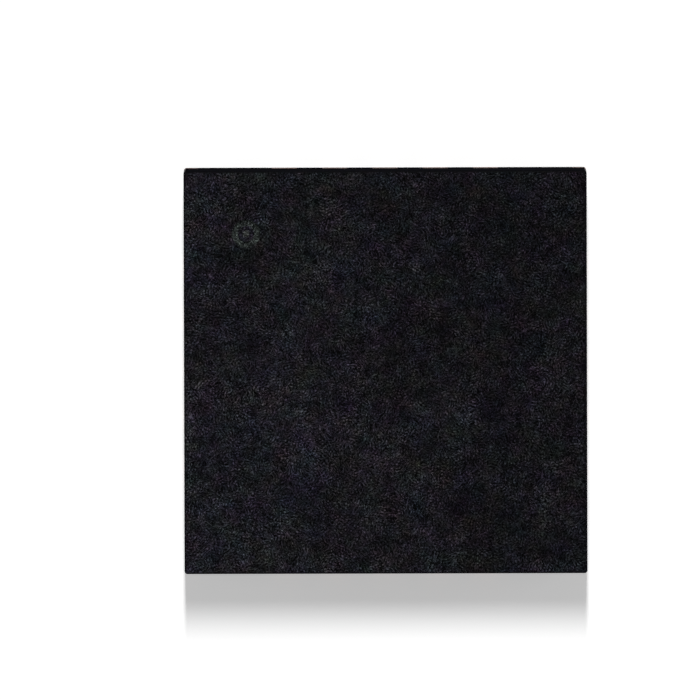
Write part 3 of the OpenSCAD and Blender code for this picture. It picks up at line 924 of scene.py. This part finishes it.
studio = {        # metres
    "floorGap": 0.005 * mm, "floorRadius": 0.02, "floorFade": (0.4, 0.9),
    "floorTone": 0.8, "floorLift": 0.358, "ambient": 0.06,
}
cameraFacts = {        # millimetres and degrees
    "place": (-0.352, 15.402, 300.466), "aim": (-0.352, 0.224, 0.85), "roll": -0.15,
    "lens": 1555, "sensor": 36, "nearest": 1,
}
lamps = {        # millimetres and watts
    "key": {"place": (-0.35, 190, 306), "size": (20, 160), "power": 1.085},
    "wall_left": {"place": (-50, -3, 4.4), "size": (40, 5), "power": 0.015},
    "wall_right": {"place": (50, 3, 4.4), "size": (40, 5), "power": 0.015},
    "wall_near": {"place": (0, -50, 4.4), "size": (40, 5), "power": 0.015},
    "under": {"place": (0, 0, -45), "size": (40, 40), "power": 0.012},
}


def makeFloor():        # a disc that shows from above only, and fades out before its edge
    mesh = bmesh.new()
    bmesh.ops.create_circle(mesh, cap_ends=True, segments=96, radius=studio["floorRadius"])
    bmesh.ops.translate(mesh, verts=mesh.verts, vec=(0, 0, cadBox[0].z - studio["floorGap"]))
    data = bpy.data.meshes.new("studio_floor")
    mesh.to_mesh(data)
    mesh.free()
    floor = newObject("studio_floor", data)
    material = bpy.data.materials.new("studio_floor")
    material.use_nodes = True
    tree = material.node_tree
    tree.nodes.clear()
    tone = studio["floorTone"]
    paper = addNode(tree, "ShaderNodeBsdfDiffuse", {"Color": (tone, tone, tone, 1)})
    lift = addNode(tree, "ShaderNodeEmission", {"Color": (1, 1, 1, 1), "Strength": studio["floorLift"]})
    shown = addNode(tree, "ShaderNodeAddShader", {0: paper.outputs[0], 1: lift.outputs[0]})
    clear = addNode(tree, "ShaderNodeBsdfTransparent")
    seen = addNode(tree, "ShaderNodeLightPath").outputs["Is Camera Ray"]
    front = minus(tree, 1, addNode(tree, "ShaderNodeNewGeometry").outputs["Backfacing"])
    away = lengthOf(tree, addNode(tree, "ShaderNodeTexCoord").outputs["Object"])
    near = remap(tree, away, *(studio["floorRadius"] * share for share in studio["floorFade"]), 1, 0)
    share = times(tree, times(tree, seen, front), near)
    mix = addNode(tree, "ShaderNodeMixShader", {0: share, 1: clear.outputs[0], 2: shown.outputs[0]})
    addNode(tree, "ShaderNodeOutputMaterial", {"Surface": mix.outputs[0]})
    data.materials.append(material)


def makeWorld():        # white where it is seen, dim where it lights
    world = bpy.data.worlds.new("studio")
    world.use_nodes = True
    tree = world.node_tree
    tree.nodes.clear()
    rays = addNode(tree, "ShaderNodeLightPath").outputs
    mirrored = calc(tree, "MAXIMUM", rays["Is Glossy Ray"], rays["Is Transmission Ray"])
    direct = calc(tree, "MAXIMUM", rays["Is Camera Ray"], mirrored)
    soft, white = (addNode(tree, "ShaderNodeBackground", {"Color": (1, 1, 1, 1), "Strength": strength})
                   for strength in (studio["ambient"], 1.0))
    mix = addNode(tree, "ShaderNodeMixShader", {0: direct, 1: soft.outputs[0], 2: white.outputs[0]})
    addNode(tree, "ShaderNodeOutputWorld", {"Surface": mix.outputs[0]})
    bpy.context.scene.world = world


def makeLamp(name, facts):
    data = bpy.data.lights.new(name, "AREA")
    data.shape = "ELLIPSE"
    data.size, data.size_y = [extent * mm for extent in facts["size"]]
    data.energy = facts["power"]
    lamp = newObject(name, data)
    lamp.location = Vector(facts["place"]) * mm
    lamp.rotation_mode = "QUATERNION"
    lamp.rotation_quaternion = (-lamp.location).to_track_quat("-Z", "Y")
    lamp.visible_camera = False
    lamp.visible_glossy = name == "key"        # metal shows the white studio, not the weaker lamps


def makeCamera():
    data = bpy.data.cameras.new("camera")
    data.lens = cameraFacts["lens"]
    data.sensor_width = cameraFacts["sensor"]
    data.clip_start = cameraFacts["nearest"] * mm
    camera = newObject("camera", data)
    camera.location = Vector(cameraFacts["place"]) * mm
    back = (camera.location - Vector(cameraFacts["aim"]) * mm).normalized()
    right = Vector((0, 1, 0)).cross(back).normalized()        # +Y is up in the picture
    sight = Matrix((right, back.cross(right), back)).transposed().to_quaternion()
    camera.rotation_mode = "QUATERNION"
    camera.rotation_quaternion = sight @ Quaternion((0, 0, 1), math.radians(cameraFacts["roll"]))
    bpy.context.scene.camera = camera


makeFloor()
makeWorld()
for lampName, facts in lamps.items():
    makeLamp(lampName, facts)
makeCamera()
bpy.context.scene.view_settings.view_transform = "Standard"
print("studio: floor, world, lamps and camera made")
